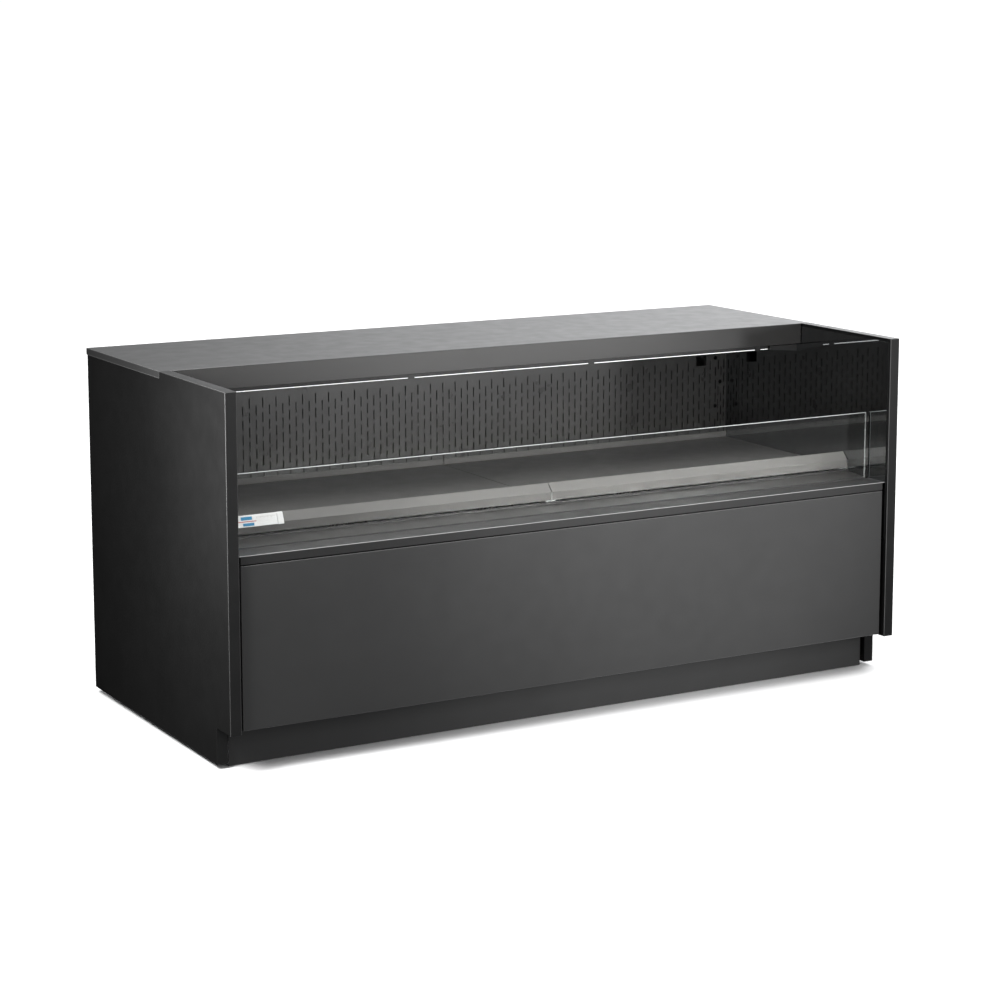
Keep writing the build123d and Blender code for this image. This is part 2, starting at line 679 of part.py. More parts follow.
def drain_pipe():
    """Takes melt water from the tank's floor to the tray below."""
    base = (Align.CENTER, Align.CENTER, Align.MIN)
    flange, foot = TANK_FLOOR_Z - 4, 150
    tube = Pos(*DRAIN_AT, foot) * Cylinder(DRAIN_R + 3, flange - foot, align=base)
    bore = Pos(*DRAIN_AT, foot - 10) * Cylinder(DRAIN_R, 200, align=base)
    return Pos(*DRAIN_AT, flange) * Cylinder(DRAIN_R + 13, 4, align=base) + tube - bore


def condensate_pan():
    """The tray that melt water drips into and dries from."""
    x0, x1, y0, y1 = TRAY
    low, wall = BASE_Z + SKIN, 2
    outer = fillet(block(*TRAY, low, low + TRAY_TALL).edges().filter_by(Axis.Z), 12)
    return outer - block(x0 + wall, x1 - wall, y0 + wall, y1 - wall, low + wall, low + TRAY_TALL + 1)


def electrical_box():
    return fillet(block(-790, -610, 296, 384, 120, 260).edges().filter_by(Axis.Z), 3)


def light_switch_bezel():
    frame = Pos(SWITCH_X, 0, SWITCH_Z) * block(-11, 11, BACK_FACE_Y, BACK_FACE_Y + 2.2, -14, 14)
    frame = fillet(frame.edges().group_by(Axis.Y)[-1], 1.2)
    return frame - block(
        SWITCH_X - 7.8, SWITCH_X + 7.8, BACK_FACE_Y - 5, BACK_FACE_Y + 5, SWITCH_Z - 10.8, SWITCH_Z + 10.8)


def light_switch_rocker():
    """A shallow V-shaped rocker, resting with its lower half out."""
    outline = Polyline((-4, -8.5), (3.4, -9.6), (1.6, 0), (3.4, 9.6), (-4, 8.5), close=True)
    rocker = along_x(make_face(outline), -7.4, 7.4)
    return Pos(SWITCH_X, BACK_FACE_Y + 1, SWITCH_Z) * Rot(-7, 0, 0) * rocker


def power_gland():
    """The bush that the supply lead enters through."""
    plane = Plane(origin=(GLAND_X, BACK_SKIN_Y - 8, GLAND_Z), x_dir=(1, 0, 0), z_dir=(0, 1, 0))
    body = extrude(plane * Circle(7.7), amount=12, dir=(0, 1, 0))
    face = Plane(origin=(GLAND_X, BACK_FACE_Y, GLAND_Z), x_dir=(1, 0, 0), z_dir=(0, 1, 0))
    flange = extrude(face * RegularPolygon(13, 6), amount=6, dir=(0, 1, 0))
    return body + flange - extrude(plane * Circle(GLAND_BORE_R), amount=30, dir=(0, 1, 0))


def thermometer_wedge(x0, x1, grow):
    """A length of the thermometer's body: a steep front on a back that follows the lip's faces."""
    reach = THERMOMETER_TALL + 2 * grow
    lean = radians(THERMOMETER_TILT)
    low, back = CHAMFER_BOTTOM - 3.5 - grow, LIP_Y - THERMOMETER_GAP
    front = (LIP_Y - 4.6 - grow, low)
    top = (front[0] + reach * sin(lean), low + reach * cos(lean))
    rear = top[0] + 3 + grow
    rise = CHAMFER_BOTTOM + 1.5 * THERMOMETER_GAP - LIP_Y
    outline = Polyline(
        front, top, (rear, top[1]), (rear, rear + rise), (back, back + rise), (back, low), close=True)
    return along_x(make_face(outline), x0, x1)


def thermometer():
    """A strip thermometer on a wedge that sits on the deck's lip, with a rounded cap at its right end."""
    x0, x1, cap = -835, -691, 16
    body = thermometer_wedge(x0, x1 - cap, 0)
    end = thermometer_wedge(x1 - cap, x1, 1)
    top = end.edges().group_by(Axis.X)[-1].filter_by(Axis.Y).group_by(Axis.Z)[-1]
    return body + fillet(top, 5)


NODES = {
    "left_end_panel": lambda: end_panel(-1),
    "right_end_panel": lambda: end_panel(1),
    "left_mirror_liner": lambda: mirror_liner(-1),
    "right_mirror_liner": lambda: mirror_liner(1),
    "top_panel": top_panel,
    "header_panel": header_panel,
    "top_insulation": top_insulation,
    "rear_flashing": rear_flashing,
    "back_skin": back_skin,
    "rear_grille": rear_grille,
    "rear_screws": rear_screws,
    "rear_air_panel": rear_air_panel,
    "rear_filler_strips": rear_filler_strips,
    "air_duct_plate": air_duct_plate,
    "discharge_grille": discharge_grille,
    "light_rail": light_rail,
    "light_diffuser": light_diffuser,
    "light_clips": light_clips,
    "light_end_brackets": light_end_brackets,
    "tank_floor": tank_floor,
    "tank_front_wall": tank_front_wall,
    "rear_insulated_wall": rear_insulated_wall,
    "deck_rails": deck_rails,
    "deck_stops": deck_stops,
    "left_deck_pan": lambda: deck_pan(-1),
    "right_deck_pan": lambda: deck_pan(1),
    "front_ledge": front_ledge,
    "inner_ledge": inner_ledge,
    "glass_channel": glass_channel,
    "front_glass": front_glass,
    "front_panel": front_panel,
    "front_rails": front_rails,
    "panel_magnets": panel_magnets,
    "toe_kick": toe_kick,
    "base_rails": base_rails,
    "frame_posts": frame_posts,
    "levelling_feet": levelling_feet,
    "base_pan": base_pan,
    "left_evaporator_fan": lambda: evaporator_fan(EVAP_FAN_X[0]),
    "centre_evaporator_fan": lambda: evaporator_fan(EVAP_FAN_X[1]),
    "right_evaporator_fan": lambda: evaporator_fan(EVAP_FAN_X[2]),
    "evaporator_fan_motors": evaporator_fan_motors,
    "evaporator_fan_shroud": evaporator_fan_shroud,
    "evaporator_coil": evaporator_coil,
    "condenser_fan": condenser_fan,
    "condenser_fan_motor": condenser_fan_motor,
    "condenser_fan_shroud": condenser_fan_shroud,
    "condenser_coil": condenser_coil,
    "compressor": compressor,
    "compressor_grommets": compressor_grommets,
    "suction_line": suction_line,
    "refrigerant_lines": refrigerant_lines,
    "filter_drier": filter_drier,
    "drain_pipe": drain_pipe,
    "condensate_pan": condensate_pan,
    "electrical_box": electrical_box,
    "light_switch_bezel": light_switch_bezel,
    "light_switch_rocker": light_switch_rocker,
    "power_gland": power_gland,
    "thermometer": thermometer,
}

os.makedirs("parts", exist_ok=True)
for name, make in NODES.items():
    export_step(make(), f"parts/{name}.step")
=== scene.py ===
import json
from math import cos, pi, radians, sin

import bmesh
import bpy
from mathutils import Matrix, Vector


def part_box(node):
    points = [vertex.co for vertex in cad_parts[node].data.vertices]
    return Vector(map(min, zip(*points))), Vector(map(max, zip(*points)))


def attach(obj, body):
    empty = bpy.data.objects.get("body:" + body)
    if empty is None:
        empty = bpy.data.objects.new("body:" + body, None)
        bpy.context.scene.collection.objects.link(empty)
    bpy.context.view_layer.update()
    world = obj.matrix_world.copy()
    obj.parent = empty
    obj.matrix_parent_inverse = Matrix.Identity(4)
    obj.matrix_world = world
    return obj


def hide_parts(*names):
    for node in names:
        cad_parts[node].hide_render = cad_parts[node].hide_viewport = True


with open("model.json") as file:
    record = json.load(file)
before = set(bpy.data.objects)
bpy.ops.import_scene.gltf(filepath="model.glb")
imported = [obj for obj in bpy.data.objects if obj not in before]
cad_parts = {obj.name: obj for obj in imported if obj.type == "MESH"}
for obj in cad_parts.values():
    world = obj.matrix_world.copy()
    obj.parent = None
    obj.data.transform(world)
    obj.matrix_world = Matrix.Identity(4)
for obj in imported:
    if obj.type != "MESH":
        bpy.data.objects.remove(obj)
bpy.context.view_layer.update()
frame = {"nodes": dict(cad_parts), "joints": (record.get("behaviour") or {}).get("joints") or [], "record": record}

# Camera: where it stands, how it is turned, and its lens
CAMERA_AT = (-2.9661, -5.2029, 1.6277)
CAMERA_YAW = 29.716
CAMERA_PITCH = 8.799
CAMERA_LENS = 90.04
CAMERA_SHIFT_Y = -0.10

# How bright the room is in front of the object, and behind it to the right
ROOM_FRONT = 0.23
ROOM_BACK_RIGHT = 2.9


# Materials

class Nodes:
    """A short way to write a material's node tree."""

    def __init__(self, name):
        self.material = bpy.data.materials.new(name)
        self.material.use_nodes = True
        self.tree = self.material.node_tree
        self.shader = self.tree.nodes["Principled BSDF"]

    def add(self, kind, **values):
        node = self.tree.nodes.new(kind)
        for key, value in values.items():
            setattr(node, key, value)
        return node

    def link(self, source, target):
        self.tree.links.new(source, target)

    def coordinates(self, stretch=(1, 1, 1)):
        """Object coordinates, in metres, stretched along an axis for grain."""
        where = self.add("ShaderNodeTexCoord")
        mapping = self.add("ShaderNodeMapping")
        mapping.inputs["Scale"].default_value = stretch
        self.link(where.outputs["Object"], mapping.inputs["Vector"])
        return mapping.outputs["Vector"]

    def noise(self, vector, scale, detail=4.0):
        node = self.add("ShaderNodeTexNoise")
        for name, value in (("Scale", scale), ("Detail", detail), ("Roughness", 0.55)):
            node.inputs[name].default_value = value
        self.link(vector, node.inputs["Vector"])
        return node.outputs["Fac"]

    def ramp(self, factor, low, high, start=0.3, end=0.7):
        node = self.add("ShaderNodeValToRGB")
        node.color_ramp.elements[0].position = start
        node.color_ramp.elements[1].position = end
        node.color_ramp.elements[0].color = (*low, 1)
        node.color_ramp.elements[1].color = (*high, 1)
        self.link(factor, node.inputs["Fac"])
        return node.outputs["Color"]

    def spread(self, factor, low, high, start=0.3, end=0.7):
        node = self.add("ShaderNodeMapRange")
        for name, value in (("From Min", start), ("From Max", end), ("To Min", low), ("To Max", high)):
            node.inputs[name].default_value = value
        self.link(factor, node.inputs["Value"])
        return node.outputs["Result"]

    def math(self, operation, *values):
        """A sum or the like of numbers and other nodes' outputs."""
        node = self.add("ShaderNodeMath", operation=operation)
        for socket, value in zip(node.inputs, values):
            if isinstance(value, float):
                socket.default_value = value
            else:
                self.link(value, socket)
        return node.outputs["Value"]

    def blend(self, factor, colour, other):
        """From a node's colour to another, plain one."""
        node = self.add("ShaderNodeMix", data_type="RGBA")
        self.link(factor, node.inputs["Factor"])
        self.link(colour, node.inputs[6])
        node.inputs[7].default_value = other
        return node.outputs[2]

    def bump(self, height, strength, distance):
        node = self.add("ShaderNodeBump")
        node.inputs["Strength"].default_value = strength
        node.inputs["Distance"].default_value = distance
        self.link(height, node.inputs["Height"])
        self.link(node.outputs["Normal"], self.shader.inputs["Normal"])

    def set(self, **values):
        for key, value in values.items():
            self.shader.inputs[key.replace("_", " ")].default_value = value


# How wide a coat's painted edge highlights are
EDGE_HIGHLIGHT_WIDTH = 0.0016


def edge_highlight_mask(m, where, node):
    """Where the painted highlight goes: 1 along the edges of the node's box, where two of its faces meet, and 0
    elsewhere.
    """
    split = m.add("ShaderNodeSeparateXYZ")
    m.link(where, split.inputs["Vector"])
    sides_near = None
    for axis, low, high in zip("XYZ", *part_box(node)):
        half = (high - low) / 2
        from_middle = m.math("ABSOLUTE", m.math("SUBTRACT", split.outputs[axis], (low + high) / 2))
        near = m.spread(from_middle, 0.0, 1.0, half - EDGE_HIGHLIGHT_WIDTH, half - EDGE_HIGHLIGHT_WIDTH * 0.6)
        sides_near = near if sides_near is None else m.math("ADD", sides_near, near)
    return m.spread(sides_near, 0.0, 1.0, 1.3, 2.0)


def coated(
        name, low, high, rough=(0.3, 0.4), grain=420.0, bump=0.05, clouds=2.5, node=None, edge=0.0, **values):
    """Powder coat or moulded plastic: clouded colour, uneven gloss, fine texture, and a node's edges painted pale
    as a highlight.
    """
    m = Nodes(name)
    where = m.coordinates()
    colour = m.ramp(m.noise(where, clouds, 5.0), low, high)
    if node:
        # A node's edges are painted pale in the base colour: a painted highlight along them
        colour = m.blend(edge_highlight_mask(m, where, node), colour, (edge, edge, edge, 1))
    m.link(colour, m.shader.inputs["Base Color"])
    m.link(m.spread(m.noise(where, clouds * 9, 4.0), *rough), m.shader.inputs["Roughness"])
    m.bump(m.noise(where, grain, 2.0), bump, 0.0004)
    m.set(**values)
    return m.material


def metal(name, low, high, rough=(0.22, 0.4), grain=(6, 400, 400)):
    """Bare or plated metal with a rolled or brushed grain, stretched along the axis whose number is small."""
    m = Nodes(name)
    fine = m.noise(m.coordinates(grain), 1.0, 6.0)
    cloud = m.noise(m.coordinates(), 14.0, 5.0)
    m.link(m.ramp(cloud, low, high), m.shader.inputs["Base Color"])
    m.link(m.spread(fine, *rough), m.shader.inputs["Roughness"])
    m.bump(fine, 0.06, 0.0003)
    m.set(Metallic=1.0)
    return m.material


def spangled(name):
    """Galvanised sheet: crystals a few millimetres across, each with its own shade and gloss."""
    m = Nodes(name)
    where = m.coordinates()
    cells = m.add("ShaderNodeTexVoronoi")
    cells.inputs["Scale"].default_value = 130.0
    m.link(where, cells.inputs["Vector"])
    shade = m.add("ShaderNodeSeparateColor")
    m.link(cells.outputs["Color"], shade.inputs["Color"])
    m.link(m.ramp(shade.outputs["Red"], (0.42, 0.43, 0.45), (0.60, 0.61, 0.62), 0.0, 1.0),
           m.shader.inputs["Base Color"])
    m.link(m.spread(shade.outputs["Green"], 0.30, 0.48, 0.0, 1.0), m.shader.inputs["Roughness"])
    m.bump(m.noise(where, 260.0), 0.08, 0.0002)
    m.set(Metallic=1.0)
    return m.material


def mirror(name):
    """Dark mirror-polished steel, with faint wiping haze."""
    m = Nodes(name)
    haze = m.noise(m.coordinates((1, 5, 1)), 6.0, 6.0)
    m.link(m.ramp(haze, (0.33, 0.34, 0.345), (0.37, 0.38, 0.385)), m.shader.inputs["Base Color"])
    m.link(m.spread(haze, 0.015, 0.05), m.shader.inputs["Roughness"])
    m.set(Metallic=1.0)
    return m.material


def clear_glass(name):
    """Clear tempered glass with faint smears in its gloss."""
    m = Nodes(name)
    smear = m.noise(m.coordinates((2, 1, 6)), 5.0, 6.0)
    m.link(m.ramp(smear, (0.92, 0.93, 0.92), (0.945, 0.955, 0.945)), m.shader.inputs["Base Color"])
    m.link(m.spread(smear, 0.0, 0.012), m.shader.inputs["Roughness"])
    m.set(Transmission_Weight=1.0, IOR=1.5)
    rays = m.add("ShaderNodeLightPath")
    clear = m.add("ShaderNodeBsdfTransparent")
    clear.inputs["Color"].default_value = (0.915, 0.92, 0.91, 1)
    mix = m.add("ShaderNodeMixShader")
    m.link(rays.outputs["Is Shadow Ray"], mix.inputs["Fac"])
    m.link(m.shader.outputs["BSDF"], mix.inputs[1])
    m.link(clear.outputs["BSDF"], mix.inputs[2])
    m.link(mix.outputs["Shader"], m.tree.nodes["Material Output"].inputs["Surface"])
    return m.material


def glowing(name, strength):
    """Opal diffuser: white plastic with the light's own slightly uneven glow."""
    m = Nodes(name)
    where = m.coordinates()
    colour = m.ramp(m.noise(where, 300.0), (0.86, 0.86, 0.85), (0.93, 0.93, 0.92))
    glow = m.ramp(m.noise(where, 40.0), (0.93, 0.96, 1.0), (1.0, 1.0, 1.0))
    m.link(colour, m.shader.inputs["Base Color"])
    m.link(glow, m.shader.inputs["Emission Color"])
    m.link(m.spread(m.noise(where, 60.0), 0.45, 0.6), m.shader.inputs["Roughness"])
    m.set(Emission_Strength=strength)
    return m.material


def grey(value, warm=0.0):
    """A linear grey, a little warm if asked."""
    return (value * (1 + warm), value, value * (1 - warm))


def fine_coat(name, low, high, warm, rough, shine):
    """A paint whose texture is too shallow to show as spots."""
    return coated(name, grey(low, warm), grey(high, warm), rough, 90.0, 0.015, Specular_IOR_Level=shine)


# The outside paints: shine, then what coated takes
PAINTS = {
    "black_paint": (0.40, grey(0.037), grey(0.043), (0.36, 0.42)),
    "ledge_paint": (0.40, grey(0.016), grey(0.020), (0.42, 0.48)),
    "black_laminate": (0.35, grey(0.009), grey(0.012), (0.36, 0.44), 420.0, 0.06),
}

# Nodes whose edges carry a painted highlight: how pale the edge is, and the shade of the rest, which is painted
# shade where it is under 1, as on the right end panel
EDGE_HIGHLIGHTS_AND_SHADE = {
    "left_end_panel": (0.06, 1.0), "right_end_panel": (0.10, 0.4), "front_ledge": (0.26, 1.0),
    "top_panel": (0.10, 1.0), "front_panel": (0.08, 1.0)}


def painted(slot, node=None):
    """One of the outside paints, or that paint with one node's painted shade and painted edge highlights."""
    shine, low, high, *rest = PAINTS[slot]
    edge, shade = EDGE_HIGHLIGHTS_AND_SHADE.get(node, (0.0, 1.0))
    # Darkening one node's copy of the paint by its shade is painted shade
    low, high = ([value * shade for value in colour] for colour in (low, high))
    name = f"{slot}_{node}" if node else slot
    return coated(name, low, high, *rest, node=node, edge=edge, Specular_IOR_Level=shine)


# The other finishes: the function that makes each one, then what it takes
FINISHES = {
    "tank_lining": (coated, grey(0.004), grey(0.006), (0.5, 0.6), 350.0, 0.1, 6.0),
    "air_panel_paint": (fine_coat, 0.020, 0.024, 0.02, (0.27, 0.32), 0.5),
    "black_interior": (fine_coat, 0.020, 0.024, 0.03, (0.28, 0.33), 0.5),
    # The deck is the interior's black paint made several times lighter: a painted reflection of the light that
    # falls on the deck
    "deck_paint": (fine_coat, 0.094, 0.104, 0.03, (0.34, 0.40), 0.15),
    "mirror_steel": (mirror,),
    "clear_glass": (clear_glass,),
    "white_diffuser": (glowing, 1.1),
    "white_plastic": (coated, grey(0.64), grey(0.70), (0.30, 0.40), 500.0, 0.04, 30.0),
    "blue_print": (coated, (0.008, 0.17, 0.34), (0.012, 0.21, 0.40), (0.30, 0.40), 500.0, 0.04, 60.0),
    "red_print": (coated, (0.40, 0.06, 0.08), (0.46, 0.08, 0.10), (0.30, 0.40), 500.0, 0.04, 60.0),
    "grey_print": (coated, grey(0.12), grey(0.16), (0.3, 0.4), 500.0, 0.04, 60.0),
    # Ground glass edges, their pale grey also a painted highlight for the light along the pane's edges
    "ground_edge_sheen": (coated, (0.36, 0.38, 0.375), (0.56, 0.58, 0.575), (0.15, 0.3), 300.0, 0.05, 6.0),
    "black_plastic": (coated, grey(0.004), grey(0.007), (0.45, 0.58), 420.0, 0.06, 20.0),
    "fan_plastic": (coated, grey(0.012), grey(0.02), (0.35, 0.5), 900.0, 0.15, 25.0),
    "grey_plastic": (coated, grey(0.17), grey(0.21), (0.35, 0.5), 600.0, 0.1, 18.0),
    "foam": (coated, grey(0.15, 0.02), grey(0.20, 0.02), (0.6, 0.8), 350.0, 0.3, 6.0),
    "pipe_foam": (coated, grey(0.010), grey(0.018), (0.75, 0.9), 1600.0, 0.5, 40.0),
    "rubber": (coated, grey(0.012), grey(0.02), (0.6, 0.8), 1300.0, 0.25, 50.0),
    "galvanised": (spangled,),
    "stainless": (metal, grey(0.50), grey(0.58)),
    "zinc_steel": (metal, (0.50, 0.50, 0.46), (0.62, 0.61, 0.56), (0.28, 0.45), (200, 200, 20)),
    "black_screw": (coated, grey(0.012), grey(0.02), (0.3, 0.45), 1500.0, 0.1, 90.0),
    "frame_paint": (coated, grey(0.012), grey(0.018), (0.35, 0.5), 500.0, 0.25, 8.0),
    "motor_paint": (coated, grey(0.04), grey(0.055), (0.35, 0.5), 700.0, 0.2, 20.0),
    "compressor_paint": (coated, grey(0.006), grey(0.010), (0.12, 0.22), 260.0, 0.15, 9.0),
    "fin_aluminium": (metal, grey(0.62), grey(0.72), (0.3, 0.45), (40, 40, 500)),
    "copper": (metal, (0.62, 0.27, 0.15), (0.78, 0.40, 0.24), (0.2, 0.42), (30, 30, 30)),
}

SLOTS = {name: make(name, *values) for name, (make, *values) in FINISHES.items()}
SLOTS.update((slot, painted(slot)) for slot in PAINTS)


def paint_nodes():
    """Gives every CAD node its slot's material."""
    for part in frame["record"]["subparts"]:
        node = frame["nodes"][part["node"]]
        slot = part["material_slot"]
        # Nodes in the table get their own copy of the paint, with painted edge highlights and painted shade
        material = painted(slot, part["node"]) if part["node"] in EDGE_HIGHLIGHTS_AND_SHADE else SLOTS[slot]
        if not node.material_slots:
            node.data.materials.append(None)
        for own in node.material_slots:
            own.material = material


# Mesh tools, in metres; the front is towards -Y

TO_FRONT = Matrix.Rotation(radians(90), 4, "X")
TO_BACK = Matrix.Rotation(radians(-90), 4, "X")


def finish(name, bm, material, body="case", stands_for=(), smooth=True):
    """Makes the piece from its mesh: shading, finish and body."""
    bmesh.ops.recalc_face_normals(bm, faces=bm.faces)
    mesh = bpy.data.meshes.new(name)
    bm.to_mesh(mesh)
    bm.free()
    mesh.materials.append(SLOTS[material])
    piece = bpy.data.objects.new(name, mesh)
    bpy.context.collection.objects.link(piece)
    if smooth:
        mesh.shade_smooth()
        mesh.set_sharp_from_angle(angle=radians(35))
        weights = piece.modifiers.new("weights", "WEIGHTED_NORMAL")
        weights.keep_sharp = True
    if stands_for:
        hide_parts(*stands_for)
    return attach(piece, body)


def placed(bm, start, matrix):
    """Moves the vertices added since there were start of them."""
    bm.verts.ensure_lookup_table()
    bmesh.ops.transform(bm, matrix=matrix, verts=bm.verts[start:])


def round_edges(bm, verts, bevel, segments):
    """Rounds every edge that meets the vertices, taken in a fixed order."""
    edges = list(dict.fromkeys(edge for vert in verts for edge in vert.link_edges))
    bmesh.ops.bevel(bm, geom=edges, offset=bevel, segments=segments, affect="EDGES", profile=0.5)


def add_box(bm, low, high, bevel=0.0, segments=2):
    """A box between two corners, with its edges rounded."""
    size = [b - a for a, b in zip(low, high)]
    middle = [(a + b) / 2 for a, b in zip(low, high)]
    matrix = Matrix.Translation(middle) @ Matrix.Diagonal((*size, 1))
    verts = bmesh.ops.create_cube(bm, size=1.0, matrix=matrix)["verts"]
    if bevel:
        round_edges(bm, verts, bevel, segments)


def ring_of(bm, centre, side, up, radius, sides):
    """A ring of vertices about a centre, in the plane of two unit vectors."""
    steps = [2 * pi * k / sides for k in range(sides)]
    return [bm.verts.new(centre + (side * cos(a) + up * sin(a)) * radius) for a in steps]


def level_ring(bm, radius, height, sides):
    """A ring of vertices about Z."""
    return ring_of(bm, Vector((0, 0, height)), Vector((1, 0, 0)), Vector((0, 1, 0)), radius, sides)


def join_rows(bm, one, two):
    """Faces between two open rows of vertices."""
    for k in range(len(one) - 1):
        bm.faces.new((one[k], one[k + 1], two[k + 1], two[k]))


def join_rings(bm, one, two):
    """Faces between two closed rings of vertices."""
    for k in range(len(one)):
        after = (k + 1) % len(one)
        bm.faces.new((one[k], one[after], two[after], two[k]))


def add_tube(bm, points, radius, sides=8, closed=False):
    """A round wire or pipe along a list of points."""
    points = [Vector(point) for point in points]
    count = len(points)
    rings = []
    side = None
    for i, point in enumerate(points):
        before = points[i - 1] if i or closed else point
        after = points[(i + 1) % count] if i < count - 1 or closed else point
        along = (after - before).normalized()
        side = along.orthogonal() if side is None else side - along * side.dot(along)
        side.normalize()
        rings.append(ring_of(bm, point, side, along.cross(side), radius, sides))
    for one, two in zip(rings, rings[1:]):
        join_rings(bm, one, two)
    if closed:
        join_rings(bm, rings[-1], rings[0])
    else:
        bm.faces.new(rings[0])
        bm.faces.new(rings[-1])


def add_lathe(bm, profile, sides=32, closed=False):
    """A (radius, height) profile turned about Z. A radius of 0 comes to a point; a closed one is a ring."""
    rows = []
    for radius, height in profile:
        rows.append(level_ring(bm, radius, height, sides) if radius else [bm.verts.new((0, 0, height))])
    pairs = list(zip(rows, rows[1:]))
    if closed:
        pairs.append((rows[-1], rows[0]))
    for one, two in pairs:
        if len(one) == len(two):
            join_rings(bm, one, two)
        else:
            tip, rim = (one[0], two) if len(one) == 1 else (two[0], one)
            for k in range(sides):
                bm.faces.new((tip, rim[k], rim[(k + 1) % sides]))


def circle(radius, height, steps=48):
    angles = [2 * pi * k / steps for k in range(steps)]
    return [(radius * cos(angle), radius * sin(angle), height) for angle in angles]


def add_screw(bm, matrix, radius=0.0046, height=0.0024):
    """A pan-head screw with a cross recess, its head up local Z."""
    start = len(bm.verts)
    dome = ((1.0, 0.0), (1.0, 0.35), (0.93, 0.7), (0.78, 0.93), (0.62, 1.0))
    rows = [level_ring(bm, radius * r, height * z, 24) for r, z in dome]
    for one, two in zip(rows, rows[1:]):
        join_rings(bm, one, two)
    arm, half = radius * 0.5, radius * 0.11
    quarter = [(half, half), (half, arm), (-half, arm)]
    cross = []
    for turn in range(4):
        c, s = round(cos(turn * pi / 2)), round(sin(turn * pi / 2))
        cross += [(x * c - y * s, x * s + y * c) for x, y in quarter]
    top = [bm.verts.new((x, y, height)) for x, y in cross]
    pit = [bm.verts.new((x * 0.7, y * 0.7, height * 0.35)) for x, y in cross]
    join_rings(bm, top, pit)
    bm.faces.new(pit)
    edges = []
    for loop in (rows[-1], top):
        edges += [bm.edges.get(pair) for pair in zip(loop, loop[1:] + loop[:1])]
    bmesh.ops.triangle_fill(bm, use_beauty=True, edges=edges)
    placed(bm, start, matrix)


# Detail pieces, placed from the CAD boxes

def node_box(name):
    low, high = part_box(name)
    return Vector(low), Vector(high)


def add_prism(bm, outline, x0, x1, bevel):
    """A (y, z) outline carried from x0 to x1, with its edges rounded."""
    near = [bm.verts.new((x0, y, z)) for y, z in outline]
    far = [bm.verts.new((x1, y, z)) for y, z in outline]
    join_rings(bm, near, far)
    bm.faces.new(near)
    bm.faces.new(far)
    round_edges(bm, near + far, bevel, 3)


# The strip thermometer, against the foot of the pan's lip: its height and lean, how far it hangs below the
# lip's corner and stands out from it, its thickness and gap, and the cap's length and extra size
STRIP_TALL = 0.0265
STRIP_LEAN = radians(24)
STRIP_DROP = 0.0035
STRIP_OUT = 0.0046
STRIP_THICK = 0.003
STRIP_GAP = 0.0004
STRIP_CAP = 0.016
CAP_GROW = 0.001


def wedge_outline(lip, grow):
    """The thermometer's side: a steep front, and a back that follows the lip's upright and sloping faces."""
    y, z = lip
    low, back, reach = z - STRIP_DROP - grow, y - STRIP_GAP, STRIP_TALL + 2 * grow
    front = (y - STRIP_OUT - grow, low)
    top = (front[0] + reach * sin(STRIP_LEAN), low + reach * cos(STRIP_LEAN))
    rear = top[0] + STRIP_THICK + grow
    rise = z + 1.5 * STRIP_GAP - y
    return [front, top, (rear, top[1]), (rear, rear + rise), (back, back + rise), (back, low)]


def make_thermometer():
    """A white strip with blue bands, a red line and a scale, and a taller cap at its right end."""
    low, high = node_box("thermometer")
    lip = (low.y + STRIP_OUT + CAP_GROW, low.z + STRIP_DROP + CAP_GROW)
    joint = high.x - STRIP_CAP
    white = bmesh.new()
    body = wedge_outline(lip, 0)
    add_prism(white, body, low.x, joint - 0.0012, 0.0007)
    neck = [(y + 0.0007, z) for y, z in body[:2]] + body[2:]
    add_prism(white, neck, joint - 0.0016, joint + 0.0004, 0.0002)
    add_prism(white, wedge_outline(lip, CAP_GROW), joint, high.x, 0.0022)
    finish("thermometer_body", white, "white_plastic", "left_deck_pan", ["thermometer"])

    place = Matrix.Translation((low.x, *body[0])) @ Matrix.Rotation(-STRIP_LEAN, 4, "X")

    def printed(name, material, strips, raised=0.00015):
        """Strips of ink, from x0 to x1 along the front and from z0 to z1 of its height."""
        ink = bmesh.new()
        for x0, x1, z0, z1 in strips:
            add_box(ink, (x0, -raised, STRIP_TALL * z0), (x1, 0.001, STRIP_TALL * z1), 0.00005)
        placed(ink, 0, place)
        finish(name, ink, material, "left_deck_pan")

    printed("thermometer_bands", "blue_print", [(0.042, 0.069, 0.60, 0.88), (0.045, 0.072, 0.09, 0.33)])
    printed("thermometer_line", "red_print", [(0.004, 0.078, 0.43, 0.50)], 0.0003)
    marks = []
    for i in range(20):
        x = 0.080 + i * 0.0022
        marks.append((x, x + 0.0004, 0.74 if i % 4 else 0.66, 0.82))
    printed("thermometer_scale", "grey_print", marks)


def make_glass():
    """The front pane with bevelled edges, ground on top and at the ends, and pale there also as a painted
    highlight for the bright line along the pane's edges.
    """
    low, high = node_box("front_glass")
    pane = bmesh.new()
    add_box(pane, low, high, 0.0008, 3)
    glass = finish("front_glass_pane", pane, "clear_glass", stands_for=["front_glass"], smooth=False)
    glass.data.materials.append(SLOTS["ground_edge_sheen"])
    for face in glass.data.polygons:
        if face.normal.z > 0.2 or 0.2 < abs(face.normal.x) < 0.98:
            face.material_index = 1


def make_glass_beads():
    """Black rubber beads that hold the foot of the glass on both sides."""
    low, high = node_box("front_glass")
    z = node_box("front_ledge")[1].z + 0.0002
    beads = bmesh.new()
    for y, radius in ((low.y - 0.0008, 0.0011), (high.y + 0.0007, 0.0009)):
        add_tube(beads, [(-high.x, y, z), (0, y, z), (high.x, y, z)], radius, 12)
    finish("glass_beads", beads, "rubber")


